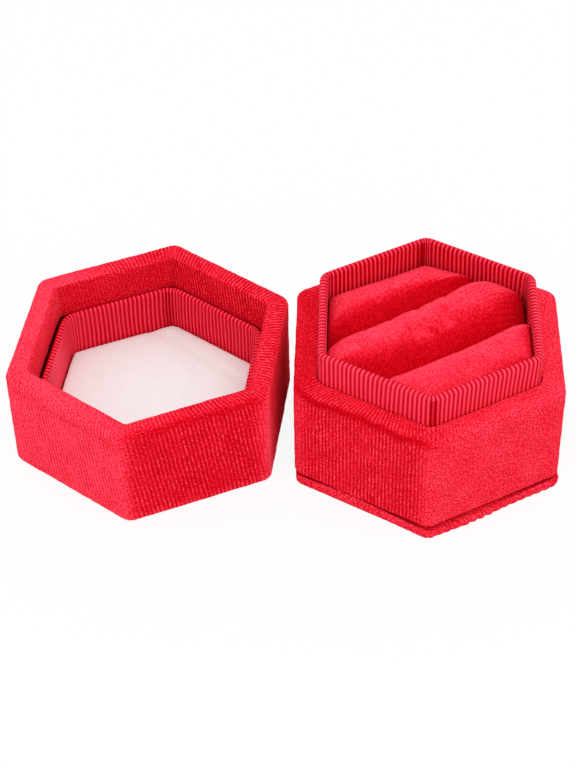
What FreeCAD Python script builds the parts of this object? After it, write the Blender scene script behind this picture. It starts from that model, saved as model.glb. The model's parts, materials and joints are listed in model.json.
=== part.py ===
"""Hexagonal velvet ring box with a lift-off lid.

The base carries a ribbon-covered collar and a cushion of three ring rolls. The lid lies upside down
beside it. Lengths are millimetres and angles are degrees. The origin is the centre of the underside of
the base, +Z is up, and +X runs along the ring slots, from corner to corner of the hexagon.
"""

import FreeCAD
import Part
import math
import os

# Overall sizes, over the velvet
box_across_flats = 52.0
box_corner_radius = 2.6
base_height = 25.0
lid_height = 23.0

# Velvet and ribbon, as on both halves
velvet = 1.0
velvet_tuck_depth = 8.0
velvet_turn_in = 5.0
velvet_edge_rounding = 1.3
ribbon = 0.5
ribbon_edge_rounding = 0.7
tightest_corner = 0.4

# Underside and floor of the base
bottom_velvet = 1.6
bottom_velvet_inset = 0.2
bottom_card = 1.2
bottom_card_inset = 1.4
base_foot_rounding = 0.8
base_mouth_rounding = 0.4
base_floor_board = 2.0

# Collar
collar_stand = 6.5
collar_board = 0.6
collar_corner_radius = 3.0
collar_ribbon_tuck = 3.0

# Ring cushion
cushion_card = 1.2
cushion_card_corner = 2.0
middle_roll_share = 0.348
roll_velvet = 0.8
roll_crown_below_rim = 2.5
roll_crown_rise = 4.0
roll_end_run = 6.0
roll_end_drop = 5.0
roll_end_above_crown = 0.3
roll_corner_radius = 2.6

# Lid
lid_wall_board = 2.0
lid_top_board = 2.0
lid_top_rounding = 1.2
mouth_corner_radius = 2.4
frame_board = 0.5
frame_corner_radius = 5.2
frame_ribbon_fold = 3.0
frame_ribbon_behind_lining = 2.0
lining_card = 1.2
lining_wadding = 2.3
lining_satin = 0.5
lining_edge_rounding = 1.2

# Fits and gaps
lid_play = 0.6
collar_fit = 0.1
collar_headroom = 0.4
cushion_fit = 0.3
ring_slot = 1.8
frame_fit = 0.8
lining_fit = 0.15
top_seam = 0.1

# Where the lid lies, seen from the base
lid_stand_off = 3.2
lid_bearing = 147.1

# Working values for cuts and for finding edges
overrun = 1.0
touch = 0.01

# Hexagon
sides = 6
corner_step = 360.0 / sides
half_corner = math.radians(corner_step / 2)

# Apothems and the distance between the two halves
box_apothem = box_across_flats / 2
mouth_apothem = box_apothem - velvet - lid_wall_board - velvet
collar_apothem = mouth_apothem - lid_play
base_mouth_apothem = collar_apothem + collar_fit
cushion_apothem = collar_apothem - ribbon - collar_board - ribbon - cushion_fit
frame_apothem = mouth_apothem - frame_fit
lid_distance = box_across_flats + lid_stand_off

# Heights in the base
bottom_card_top = bottom_velvet + bottom_card
base_floor_bottom = bottom_card_top + velvet
base_floor_top = base_floor_bottom + base_floor_board
collar_top = base_height + collar_stand
collar_ribbon_drop = collar_stand + collar_ribbon_tuck
cushion_card_top = base_floor_top + cushion_card
roll_crown = collar_top - roll_crown_below_rim

# Heights in the lid, from its outer top face as it lies
lid_floor_top = velvet + lid_top_board
frame_top = lid_height - collar_stand - collar_headroom
lining_card_top = lid_floor_top + lining_card
lining_wadding_top = lining_card_top + lining_wadding
lining_top = lining_wadding_top + lining_satin
frame_ribbon_drop = frame_top - lining_top + frame_ribbon_behind_lining


def inset(outline, depth):
    """Return the outline moved inwards by a depth, or outwards by a negative one."""
    apothem, radius = outline
    return apothem - depth, max(radius - depth, tightest_corner)


def polar(radius, angle):
    """Return the point on the ground at a radius and an angle in degrees."""
    turn = math.radians(angle)
    return FreeCAD.Vector(radius * math.cos(turn), radius * math.sin(turn), 0)


def hexagon_points(apothem):
    """Return the six sharp corners of a hexagon, the first on +X."""
    reach = apothem / math.cos(half_corner)
    return [polar(reach, corner * corner_step) for corner in range(sides)]


def corner_arc(before, corner, after, radius):
    """Return the start, middle and end of the arc that rounds one corner."""
    to_before = (before - corner).normalize()
    to_after = (after - corner).normalize()
    half_angle = to_before.getAngle(to_after) / 2
    inward = (to_before + to_after).normalize()
    reach = radius / math.tan(half_angle)
    centre = corner + inward * (radius / math.sin(half_angle))
    return corner + to_before * reach, centre - inward * radius, corner + to_after * reach


def rounded_prism(points, radius, bottom, top):
    """Return an upright prism over a convex outline with its corners rounded."""
    after = points[1:] + points[:1]
    before = points[-1:] + points[:-1]
    arcs = [corner_arc(a, b, c, radius) for a, b, c in zip(before, points, after)]
    edges = []
    for arc, following in zip(arcs, arcs[1:] + arcs[:1]):
        edges.append(Part.Arc(*arc).toShape())
        edges.append(Part.LineSegment(arc[2], following[0]).toShape())
    face = Part.Face(Part.Wire(edges))
    face.translate(FreeCAD.Vector(0, 0, bottom))
    return face.extrude(FreeCAD.Vector(0, 0, top - bottom))


def hexagon(outline, bottom, top):
    """Return a hexagonal prism with rounded corners."""
    apothem, radius = outline
    return rounded_prism(hexagon_points(apothem), radius, bottom, top)


def hexagon_ring(outside, inside, bottom, top):
    """Return a hexagonal tube between two outlines."""
    return hexagon(outside, bottom, top).cut(hexagon(inside, bottom - overrun, top + overrun))


def hexagon_distance(point):
    """Return the apothem of the sharp hexagon that passes through a point."""
    directions = [polar(1, (side + 0.5) * corner_step) for side in range(sides)]
    return max(point.dot(direction) for direction in directions)


def edges_along(shape, outline, height):
    """Return the level edges of a shape that follow one outline at one height."""
    apothem, radius = outline
    corner_loss = radius * (1 - math.cos(half_corner))
    found = []
    for edge in shape.Edges:
        level = max(abs(edge.BoundBox.ZMin - height), abs(edge.BoundBox.ZMax - height)) < touch
        middle = edge.valueAt((edge.FirstParameter + edge.LastParameter) / 2)
        if level and -touch < apothem - hexagon_distance(middle) < corner_loss + touch:
            found.append(edge)
    return found


def rounded(shape, outline, height, radius):
    """Return a shape with the edges of one outline at one height rounded over."""
    return shape.makeFillet(radius, edges_along(shape, outline, height))


def wall_velvet(outside, mouth, board, bottom, top):
    """Return the velvet over one wall: outside, over the top, down inside and turned in below."""
    board_outside = inset(outside, velvet)
    tuck_end = top - velvet_tuck_depth
    shape = hexagon(outside, bottom, top)
    shape = shape.cut(hexagon(mouth, tuck_end, top + overrun))
    shape = shape.cut(hexagon(board_outside, bottom + velvet, tuck_end))
    shape = shape.cut(board)
    turned_in = inset(board_outside, velvet_turn_in)
    return shape.cut(hexagon(turned_in, bottom - overrun, bottom + velvet))


def folded_ribbon(outside, board, top, outer_drop, inner_drop):
    """Return a ribbon folded over the top edge of a hexagonal board."""
    board_outside = inset(outside, ribbon)
    board_inside = inset(board_outside, board)
    inside = inset(board_inside, ribbon)
    outer_leg = hexagon_ring(outside, board_outside, top - outer_drop, top)
    inner_leg = hexagon_ring(board_inside, inside, top - inner_drop, top)
    fold = hexagon_ring(board_outside, board_inside, top - ribbon, top)
    shape = outer_leg.fuse([inner_leg, fold]).removeSplitter()
    shape = rounded(shape, outside, top, ribbon_edge_rounding)
    return rounded(shape, inside, top, ribbon_edge_rounding)


def base_pieces():
    """Return the boards, cards and velvet of the base."""
    outside = (box_apothem, box_corner_radius)
    mouth = (base_mouth_apothem, collar_corner_radius + collar_fit)
    board_inside = inset(mouth, -velvet)
    wall_board = hexagon_ring(
        inset(outside, velvet), board_inside, base_floor_bottom, base_height - velvet)
    wall = wall_velvet(outside, mouth, wall_board, bottom_card_top, base_height)
    wall = rounded(wall, outside, base_height, velvet_edge_rounding)
    wall = rounded(wall, mouth, base_height, base_mouth_rounding)
    wall = rounded(wall, outside, bottom_card_top, base_foot_rounding)
    return {
        "base_wall_board": wall_board,
        "base_floor_board": hexagon(board_inside, base_floor_bottom, base_floor_top),
        "base_wall_velvet": wall,
        "base_bottom_card": hexagon(inset(outside, bottom_card_inset), bottom_velvet, bottom_card_top),
        "base_bottom_velvet": hexagon(inset(outside, bottom_velvet_inset), 0, bottom_velvet),
    }


def collar_pieces():
    """Return the board collar that stands on the base's floor, and its ribbon."""
    outside = (collar_apothem, collar_corner_radius)
    board_outside = inset(outside, ribbon)
    board_inside = inset(board_outside, collar_board)
    return {
        "collar_board": hexagon_ring(board_outside, board_inside, base_floor_top, collar_top - ribbon),
        "collar_ribbon": folded_ribbon(
            outside, collar_board, collar_top, collar_ribbon_drop, collar_ribbon_drop),
    }


def strip_points(apothem, low, high):
    """Return the outline of a hexagon between two lines along X."""
    levels = [low, 0, high] if low < 0 < high else [low, high]
    slope = math.tan(half_corner)
    right = [((apothem / math.cos(half_corner)) - abs(y) * slope, y) for y in levels]
    left = [(-x, y) for x, y in reversed(right)]
    return [FreeCAD.Vector(x, y, 0) for x, y in right + left]


def crown_solid(low, high, bottom, crown):
    """Return a long bar along X with an arched top between two sides."""
    middle = (low + high) / 2
    shoulder = crown - roll_crown_rise
    start = FreeCAD.Vector(-box_across_flats, low, shoulder)
    top = FreeCAD.Vector(-box_across_flats, middle, crown)
    end = FreeCAD.Vector(-box_across_flats, high, shoulder)
    foot_low = FreeCAD.Vector(-box_across_flats, low, bottom)
    foot_high = FreeCAD.Vector(-box_across_flats, high, bottom)
    arch = Part.Arc(start, top, end).toShape()
    sides_and_foot = Part.makePolygon([end, foot_high, foot_low, start]).Edges
    face = Part.Face(Part.Wire([arch] + sides_and_foot))
    return face.extrude(FreeCAD.Vector(2 * box_across_flats, 0, 0))


def end_solid(apothem, bottom, top, turn):
    """Return a wide bar with a flat top whose two long edges are drawn down in arcs."""
    arc_radius = (roll_end_run ** 2 + roll_end_drop ** 2) / (2 * roll_end_drop)
    half_sweep = math.asin(roll_end_run / arc_radius) / 2
    arc_x = apothem - roll_end_run
    middle_x = arc_x + arc_radius * math.sin(half_sweep)
    middle_z = top - arc_radius * (1 - math.cos(half_sweep))
    rim_z = top - roll_end_drop

    def at(x, z):
        return FreeCAD.Vector(x, -box_across_flats, z)

    edges = [
        Part.Arc(at(arc_x, top), at(middle_x, middle_z), at(apothem, rim_z)).toShape(),
        Part.LineSegment(at(apothem, rim_z), at(apothem, bottom)).toShape(),
        Part.LineSegment(at(apothem, bottom), at(-apothem, bottom)).toShape(),
        Part.LineSegment(at(-apothem, bottom), at(-apothem, rim_z)).toShape(),
        Part.Arc(at(-apothem, rim_z), at(-middle_x, middle_z), at(-arc_x, top)).toShape(),
        Part.LineSegment(at(-arc_x, top), at(arc_x, top)).toShape(),
    ]
    bar = Part.Face(Part.Wire(edges)).extrude(FreeCAD.Vector(0, 2 * box_across_flats, 0))
    bar.rotate(FreeCAD.Vector(0, 0, 0), FreeCAD.Vector(0, 0, 1), turn)
    return bar


def roll_solid(apothem, low, high, bottom, crown):
    """Return one plump roll: crowned across, and drawn in where it meets the collar."""
    end_top = crown + roll_end_above_crown
    shape = rounded_prism(strip_points(apothem, low, high), roll_corner_radius, bottom, end_top)
    shape = shape.common(crown_solid(low, high, bottom, crown))
    for turn in (corner_step / 2, -corner_step / 2):
        shape = shape.common(end_solid(apothem, bottom, end_top, turn))
    return shape


def cushion_pieces():
    """Return the three velvet-covered foam rolls and the card that they are stuck to."""
    middle_edge = cushion_apothem * middle_roll_share
    outer_edge = middle_edge + ring_slot
    spans = {
        "front": (-cushion_apothem, -outer_edge),
        "middle": (-middle_edge, middle_edge),
        "rear": (outer_edge, cushion_apothem),
    }
    card = hexagon((cushion_apothem, cushion_card_corner), base_floor_top, cushion_card_top)
    pieces = {"cushion_card": card}
    for name, (low, high) in spans.items():
        whole = roll_solid(cushion_apothem, low, high, cushion_card_top, roll_crown)
        foam = roll_solid(
            cushion_apothem - roll_velvet, low + roll_velvet, high - roll_velvet,
            cushion_card_top, roll_crown - roll_velvet)
        pieces["roll_foam_" + name] = foam
        pieces["roll_velvet_" + name] = whole.cut(foam)
    return pieces


def lid_shell_pieces():
    """Return the boards and the velvet of the lid, with its outer top face on the ground."""
    outside = (box_apothem, box_corner_radius)
    mouth = (mouth_apothem, mouth_corner_radius)
    board_outside = inset(outside, velvet)
    board_inside = inset(mouth, -velvet)
    wall_board = hexagon_ring(board_outside, board_inside, velvet, lid_height - velvet)
    wall = wall_velvet(outside, mouth, wall_board, 0, lid_height)
    wall = rounded(wall, outside, lid_height, velvet_edge_rounding)
    wall = rounded(wall, mouth, lid_height, velvet_edge_rounding)
    wall = rounded(wall, outside, 0, lid_top_rounding)
    return {
        "lid_wall_board": wall_board,
        "lid_top_board": hexagon(board_inside, velvet, lid_floor_top),
        "lid_wall_velvet": wall,
        "lid_top_velvet": hexagon(inset(board_outside, velvet_turn_in + top_seam), 0, velvet),
    }


def lid_lining_pieces():
    """Return the ribbon-covered frame inside the lid and the padded white lining on its ceiling."""
    outside = (frame_apothem, frame_corner_radius)
    board_outside = inset(outside, ribbon)
    board_inside = inset(board_outside, frame_board)
    frame = hexagon_ring(board_outside, board_inside, lid_floor_top, frame_top - ribbon)
    lining = inset(board_inside, ribbon + lining_fit)
    padding = inset(lining, lining_satin)
    card = hexagon(padding, lid_floor_top, lining_card_top)
    wadding = hexagon(padding, lining_card_top, lining_wadding_top)
    satin = rounded(hexagon(lining, lid_floor_top, lining_top), lining, lining_top, lining_edge_rounding)
    wadding = wadding.common(satin)
    return {
        "lid_frame_board": frame,
        "lid_frame_ribbon": folded_ribbon(
            outside, frame_board, frame_top, frame_ribbon_fold, frame_ribbon_drop),
        "lid_lining_card": card,
        "lid_lining_wadding": wadding,
        "lid_lining_satin": satin.cut(card).cut(wadding),
    }


def laid_beside(shape):
    """Return a lid piece turned and moved to where the lid lies.

    The lid turns by twice its bearing, so that it closes square on the base when it is flipped over.
    """
    placed = shape.copy()
    placed.rotate(FreeCAD.Vector(0, 0, 0), FreeCAD.Vector(0, 0, 1), 2 * lid_bearing)
    placed.translate(polar(lid_distance, lid_bearing))
    return placed


def all_pieces():
    """Return every piece of the box by name."""
    pieces = {**base_pieces(), **collar_pieces(), **cushion_pieces()}
    for name, shape in {**lid_shell_pieces(), **lid_lining_pieces()}.items():
        pieces[name] = laid_beside(shape)
    return pieces


os.makedirs("parts", exist_ok=True)
for piece_name, piece in all_pieces().items():
    piece.exportStep("parts/" + piece_name + ".step")
    print(piece_name, "solids", len(piece.Solids), "valid", piece.isValid(), "volume", round(piece.Volume, 2))
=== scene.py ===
"""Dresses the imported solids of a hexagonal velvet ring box: pile, ribbed ribbon, ring rolls and lining."""
import json
import logging
import math
from collections.abc import Callable, Sequence
from dataclasses import dataclass, field
from enum import Enum

import bmesh
import bpy
from mathutils import Matrix, Vector, noise


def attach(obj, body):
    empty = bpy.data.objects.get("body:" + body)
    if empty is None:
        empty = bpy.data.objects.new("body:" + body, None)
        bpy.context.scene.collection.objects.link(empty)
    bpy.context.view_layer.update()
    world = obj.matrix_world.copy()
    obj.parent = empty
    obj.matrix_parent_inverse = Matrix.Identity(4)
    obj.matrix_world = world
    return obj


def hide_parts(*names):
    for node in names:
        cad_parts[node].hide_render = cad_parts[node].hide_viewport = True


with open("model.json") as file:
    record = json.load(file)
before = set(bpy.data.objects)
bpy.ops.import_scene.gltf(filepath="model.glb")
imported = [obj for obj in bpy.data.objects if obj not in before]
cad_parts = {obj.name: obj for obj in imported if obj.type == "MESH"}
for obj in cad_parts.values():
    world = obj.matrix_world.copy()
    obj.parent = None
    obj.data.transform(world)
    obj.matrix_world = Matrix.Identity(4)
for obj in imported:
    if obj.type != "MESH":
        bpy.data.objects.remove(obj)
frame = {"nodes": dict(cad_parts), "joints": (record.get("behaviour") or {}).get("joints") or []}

LOG = logging.getLogger("ring_box")
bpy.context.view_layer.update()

MM = 0.001
SIDES = 6
SIDE_TURN = math.tau / SIDES
HALF_SIDE_TURN = SIDE_TURN / 2
WELD = 1e-3 * MM
CUT_SLACK = 1e-4 * MM
EDGE_SLANT = (0.6, 0.8)
CLOTH_UV = "cloth"
ALONG = "along"
AROUND = "around"
# The pile's tone with its painted sheen, painted light and painted shade, kept on each vertex
SHEEN_TONE = "sheen_tone"
WALE = "wale"
# How deep between the ribs each vertex lies, with painted shade added, kept on each vertex
GROOVE_AND_SHADE = "groove_and_shade"
# The share and the two values among a Mix node's inputs, for numbers and for colours
NUMBER_MIX = (0, 2, 3)
COLOUR_MIX = (0, 6, 7)

Colour = tuple[float, float, float]
Limits = tuple[float, float]
Form = bmesh.types.BMesh
Socket = bpy.types.NodeSocket
Material = bpy.types.Material
Piece = bpy.types.Object


class Body(Enum):
    """The bodies that pieces ride on."""

    BASE = "base"
    CUSHION = "cushion"
    LID = "lid"

    @property
    def place(self) -> Matrix:
        """Where the body stands: the lid's place follows from the hinge that closes the box."""
        if self is not Body.LID:
            return Matrix.Identity(4)
        hinge = next(joint for joint in frame["joints"] if joint["name"] == "lid_close")
        across = Vector(hinge["pos_m"]).to_2d()
        bearing = math.atan2(across.y, across.x)
        return Matrix.Translation((2 * across).to_3d()) @ Matrix.Rotation(2 * bearing, 4, "Z")


class Slot(Enum):
    """The record's material slots."""

    WALL_VELVET = "wall_velvet"
    CUSHION_VELVET = "cushion_velvet"
    RIBBON = "ribbon"
    SATIN = "satin"


def srgb(red: int, green: int, blue: int) -> Colour:
    """Turn a colour on the screen's scale into a shader's.

    Args:
        red: its red, out of 255.
        green: its green, out of 255.
        blue: its blue, out of 255.

    Returns:
        The colour, each part from 0 to 1.
    """
    def straight(value: int) -> float:
        """Return one part on the shader's scale."""
        share = value / 255
        return share / 12.92 if share <= 0.04045 else ((share + 0.055) / 1.055) ** 2.4
    return straight(red), straight(green), straight(blue)


def heading(angle: float) -> Vector:
    """Return the level direction at an angle."""
    return Vector((math.cos(angle), math.sin(angle), 0))


def level(vector: Vector) -> Vector:
    """Return the level part of a vector."""
    return Vector((vector.x, vector.y, 0))


def eased(value: float, low: float, high: float) -> float:
    """Return 0 below low, 1 above high, and a smooth step between."""
    share = min(1.0, max(0.0, (value - low) / (high - low)))
    return share * share * (3 - 2 * share)


def between(first: float, second: float, share: float) -> float:
    """Return the value at a share of the way from one value to another."""
    return first + (second - first) * share


def rounded(share: float) -> float:
    """Return the height of a quarter circle at a share of its width, from 0 to 1."""
    left = 1 - min(1.0, max(0.0, share))
    return math.sqrt(1 - left * left)


def bump_at(value: float, centre: float, width: float) -> float:
    """Return a smooth bump of height 1 at centre that fades out at a width."""
    return math.exp(-((value - centre) / width) ** 2)


def side_reach(point: Vector) -> float:
    """Return the apothem of the hexagon that a point lies on."""
    return max(point.dot(heading((side + 0.5) * SIDE_TURN)) for side in range(SIDES))


def off_run(point: Vector, start: Vector, end: Vector) -> float:
    """Measure how far a point lies from the straight run between two others.

    Args:
        point: the point.
        start: where the run starts.
        end: where it ends.

    Returns:
        The shortest distance.
    """
    run = end - start
    share = min(1.0, max(0.0, (point - start).dot(run) / run.length_squared))
    return (start + run * share - point).length


def everything(shape: Form) -> list:
    """Return all of a form's vertices, edges and faces."""
    return shape.verts[:] + shape.edges[:] + shape.faces[:]


def put(name: str, data: bpy.types.ID) -> Piece:
    """Put a new object in the scene.

    Args:
        name: its name.
        data: its mesh, lamp or camera.

    Returns:
        The object.
    """
    made = bpy.data.objects.new(name, data)
    bpy.context.scene.collection.objects.link(made)
    return made


def mesh_from(shape: Form, name: str) -> bpy.types.Mesh:
    """Make a mesh from a form.

    Args:
        shape: the form; it is freed.
        name: the mesh's name.

    Returns:
        The mesh.
    """
    mesh = bpy.data.meshes.new(name)
    shape.to_mesh(mesh)
    shape.free()
    return mesh


@dataclass(frozen=True)
class Outline:
    """A hexagon with rounded corners, its first corner on +X."""

    apothem: float
    corner: float

    @property
    def flat(self) -> float:
        """The straight length of one side."""
        return 2 * math.tan(HALF_SIDE_TURN) * (self.apothem - self.corner)

    @property
    def side(self) -> float:
        """The length of one side with half a corner at each end."""
        return self.flat + self.corner * SIDE_TURN

    @property
    def corner_share(self) -> float:
        """The share of a side that half a corner takes."""
        return self.corner * HALF_SIDE_TURN / self.side

    @property
    def corner_reach(self) -> float:
        """The distance from the axis to the middle of a corner's rounding."""
        return (self.apothem - self.corner) / math.cos(HALF_SIDE_TURN)

    def inset(self, depth: float, least: float = 0.3 * MM) -> "Outline":
        """Return the outline moved inwards by a depth."""
        return Outline(self.apothem - depth, max(self.corner - depth, least))

    @property
    def planes(self) -> list[tuple[Vector, float]]:
        """The upright planes that close it in, as outward directions and distances from the axis."""
        shares = (-0.5, 0.0, 0.5, 1.0)
        turns = [(corner * SIDE_TURN, share * HALF_SIDE_TURN) for corner in range(SIDES) for share in shares]
        return [(heading(start + turn), self.corner_reach * math.cos(turn) + self.corner)
                for start, turn in turns]

    def hold(self, shape: Form) -> None:
        """Press whatever stands out of the outline back to it.

        Args:
            shape: the form that is pressed.
        """
        planes = self.planes
        inmost = self.apothem - self.corner
        for vert in shape.verts:
            if vert.co.to_2d().length > inmost:
                for outward, distance in planes:
                    vert.co -= outward * max(0.0, vert.co.dot(outward) - distance)

    def at(self, share: float, corner_share: float) -> Vector:
        """Return the point at a share of the way round.

        Args:
            share: how far round, from 0 to 1.
            corner_share: the share of each side that is given to half a corner.

        Returns:
            The point, at height 0.
        """
        side, along = divmod(share * SIDES, 1.0)
        start = side * SIDE_TURN
        if along < corner_share:
            turn = start + HALF_SIDE_TURN * along / corner_share
            return heading(start) * self.corner_reach + heading(turn) * self.corner
        if along > 1 - corner_share:
            turn = start + SIDE_TURN - HALF_SIDE_TURN * (1 - along) / corner_share
            return heading(start + SIDE_TURN) * self.corner_reach + heading(turn) * self.corner
        outward = heading(start + HALF_SIDE_TURN)
        slide = self.flat * (along - 0.5) / (1 - 2 * corner_share)
        return outward * self.apothem + Vector((-outward.y, outward.x, 0)) * slide


@dataclass(frozen=True)
class Turn:
    """One corner of a strip's profile: its apothem, height and rounding, and whether the run on is hidden."""

    apothem: float
    height: float
    rounding: float = 0.0
    hidden_next: bool = False


@dataclass(frozen=True)
class Spot:
    """Where a point of a cloth lies: along its run round the box, along its profile, and in space."""

    around: float
    along: float
    point: Vector
    normal: Vector


@dataclass
class Strip:
    """A strip of cloth round the box: a closed profile spun about the axis and pressed to the hexagon.

    Its UV map counts rows of pile or ribs across, and millimetres along the profile.
    """

    profile: Sequence[Turn]
    outer: Outline
    inner: Outline
    spacing: float
    rows: int
    steps_per_row: int
    lean: float = 0.0
    arc_segments: int = 6
    hidden_spacing: float = 2.4 * MM
    least_corner: float = 0.2 * MM

    @property
    def run(self) -> float:
        """The length of the strip round its outer face."""
        return SIDES * self.outer.side

    def outline(self, apothem: float) -> Outline:
        """Return the hexagon at an apothem, with a corner between the outer and the inner one."""
        share = (self.outer.apothem - apothem) / (self.outer.apothem - self.inner.apothem)
        return Outline(apothem, max(between(self.outer.corner, self.inner.corner, share), self.least_corner))

    def draw_profile(self, shape: Form, along: object) -> None:
        """Draw the closed profile, round its corners, divide it and measure along it.

        Args:
            shape: the empty mesh to draw in.
            along: the vertex layer that takes the length along the profile.
        """
        places = [Vector((turn.apothem, 0, turn.height)) for turn in self.profile]
        corners = [shape.verts.new(place) for place in places]
        for first, second in zip(corners, corners[1:] + corners[:1]):
            shape.edges.new((first, second))
        for place, turn in zip(places, self.profile):
            if turn.rounding > 0:
                corner = min(shape.verts, key=lambda v: (v.co - place).length)
                bmesh.ops.bevel(
                    shape, geom=[corner], offset=turn.rounding, offset_type="OFFSET", affect="VERTICES",
                    segments=self.arc_segments, profile=0.5, material=-1)
        runs = list(zip(self.profile, places, places[1:] + places[:1]))
        for edge in shape.edges[:]:
            middle = (edge.verts[0].co + edge.verts[1].co) / 2
            turn = min(runs, key=lambda run: off_run(middle, run[1], run[2]))[0]
            cuts = int(edge.calc_length() / (self.hidden_spacing if turn.hidden_next else self.spacing))
            if cuts:
                bmesh.ops.subdivide_edges(shape, edges=[edge], cuts=cuts)
        onward = places[1] - places[0]
        here = min(shape.verts, key=lambda v: (v.co - places[0]).length)
        edge = max(here.link_edges, key=lambda e: (e.other_vert(here).co - here.co).normalized().dot(onward))
        length = 0.0
        for _ in range(len(shape.verts)):
            here[along] = length
            length += edge.calc_length()
            here = edge.other_vert(here)
            edge = next(e for e in here.link_edges if e is not edge)

    def build(self) -> Form:
        """Draw the profile, spin it and press it to the hexagon.

        Returns:
            The strip, with its run and profile lengths in its vertex layers and its UV map.
        """
        shape = bmesh.new()
        along = shape.verts.layers.float.new(ALONG)
        around = shape.verts.layers.float.new(AROUND)
        self.draw_profile(shape, along)
        steps = self.rows * self.steps_per_row
        bmesh.ops.spin(
            shape, geom=everything(shape), cent=(0, 0, 0), axis=(0, 0, 1), angle=SIDE_TURN,
            steps=steps // SIDES)
        bmesh.ops.spin(
            shape, geom=everything(shape), cent=(0, 0, 0), axis=(0, 0, 1), angle=math.tau - SIDE_TURN,
            steps=SIDES - 1, use_duplicate=True)
        bmesh.ops.remove_doubles(shape, verts=shape.verts, dist=WELD)
        for vert in shape.verts:
            share = round(math.atan2(vert.co.y, vert.co.x) / math.tau * steps) % steps / steps
            vert[around] = share * self.run
            spot = self.outline(vert.co.to_2d().length).at(share, self.outer.corner_share)
            vert.co = spot.x, spot.y, vert.co.z
        bmesh.ops.recalc_face_normals(shape, faces=shape.faces)
        shape.normal_update()
        self.map_cloth(shape)
        return shape

    def map_cloth(self, shape: Form) -> None:
        """Lay the UV map, whole across the place where the strip meets itself.

        Args:
            shape: the strip.
        """
        along = shape.verts.layers.float[ALONG]
        around = shape.verts.layers.float[AROUND]
        total = max(vert[along] for vert in shape.verts)
        cloth = shape.loops.layers.uv.new(CLOTH_UV)
        for face in shape.faces:
            across = [loop.vert[around] for loop in face.loops]
            down = [loop.vert[along] for loop in face.loops]
            for loop, u, v in zip(face.loops, across, down):
                u += self.run if max(across) - u > self.run / 2 else 0
                v += total if max(down) - v > total / 2 else 0
                loop[cloth].uv = (u + self.lean * v) / self.run * self.rows, v / MM


def spots(shape: Form) -> list[Spot]:
    """Find where each vertex of a cloth lies.

    Args:
        shape: the cloth.

    Returns:
        The spots, in the order of its vertices.
    """
    layers = shape.verts.layers.float
    if ALONG not in layers:
        return [Spot(0.0, 0.0, v.co.copy(), v.normal.copy()) for v in shape.verts]
    along, around = layers[ALONG], layers[AROUND]
    return [Spot(v[around], v[along], v.co.copy(), v.normal.copy()) for v in shape.verts]


def lifted(shape: Form, lift: Callable[[Spot], float]) -> None:
    """Move each vertex of a cloth along its normal.

    Args:
        shape: the cloth.
        lift: gives how far, in metres, from where the vertex lies.
    """
    for vert, spot in zip(shape.verts, spots(shape)):
        vert.co = spot.point + spot.normal * lift(spot)


def painted(shape: Form, name: str, value: Callable[[Spot], float]) -> None:
    """Keep a value at each vertex of a cloth for its finish to read.

    Args:
        shape: the cloth.
        name: the name of the value.
        value: gives it from where the vertex lies.
    """
    found = spots(shape)
    layer = shape.verts.layers.float.new(name)
    for vert, spot in zip(shape.verts, found):
        vert[layer] = value(spot)


def trimmed(shape: Form, place: Vector, outward: Vector) -> None:
    """Cut away whatever of a form lies outside a plane."""
    bmesh.ops.bisect_plane(
        shape, geom=everything(shape), dist=CUT_SLACK, plane_co=place, plane_no=outward, clear_outer=True)


def hexagon_panel(outline: Outline, bottom: float, top: float, spacing: float, row_pitch: float) -> Form:
    """Return a flat hexagonal panel of even small faces.

    Args:
        outline: the panel's edge.
        bottom: the height of its underside.
        top: the height of its upper side.
        spacing: the size of its faces.
        row_pitch: the distance between its rows of pile.

    Returns:
        The closed panel, with its UV map.
    """
    shape = bmesh.new()
    reach = outline.apothem / math.cos(HALF_SIDE_TURN)
    cells = math.ceil(2 * reach / spacing)
    bmesh.ops.create_grid(
        shape, x_segments=cells, y_segments=cells, size=reach, matrix=Matrix.Translation((0, 0, bottom)))
    for outward, distance in outline.planes:
        trimmed(shape, outward * distance, outward)
    grown = bmesh.ops.extrude_face_region(shape, geom=shape.faces[:])["geom"]
    raised_verts = [item for item in grown if isinstance(item, bmesh.types.BMVert)]
    bmesh.ops.translate(shape, vec=(0, 0, top - bottom), verts=raised_verts)
    upright = [e for e in shape.edges if abs(e.verts[0].co.z - e.verts[1].co.z) > (top - bottom) / 2]
    bmesh.ops.subdivide_edges(shape, edges=upright, cuts=int((top - bottom) / spacing), use_grid_fill=True)
    bmesh.ops.recalc_face_normals(shape, faces=shape.faces)
    shape.normal_update()
    cloth = shape.loops.layers.uv.new(CLOTH_UV)
    slant_x, slant_y = EDGE_SLANT
    for face in shape.faces:
        for loop in face.loops:
            place = loop.vert.co
            loop[cloth].uv = (place.x + slant_x * place.z) / row_pitch, (place.y + slant_y * place.z) / MM
    return shape


def cut_across(shape: Form, low: float, high: float) -> None:
    """Cut a closed form down to what lies between two planes across Y, and close it again.

    Args:
        shape: the form.
        low: the lower plane's place along Y.
        high: the upper plane's place along Y.
    """
    for place, outward in ((low, -1), (high, 1)):
        trimmed(shape, Vector((0, place, 0)), Vector((0, outward, 0)))
        bmesh.ops.holes_fill(shape, edges=[edge for edge in shape.edges if edge.is_boundary], sides=0)


def shown_mesh(piece: Piece) -> bpy.types.Mesh:
    """Return an object's mesh with its modifiers applied."""
    return bpy.data.meshes.new_from_object(piece.evaluated_get(bpy.context.evaluated_depsgraph_get()))


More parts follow.
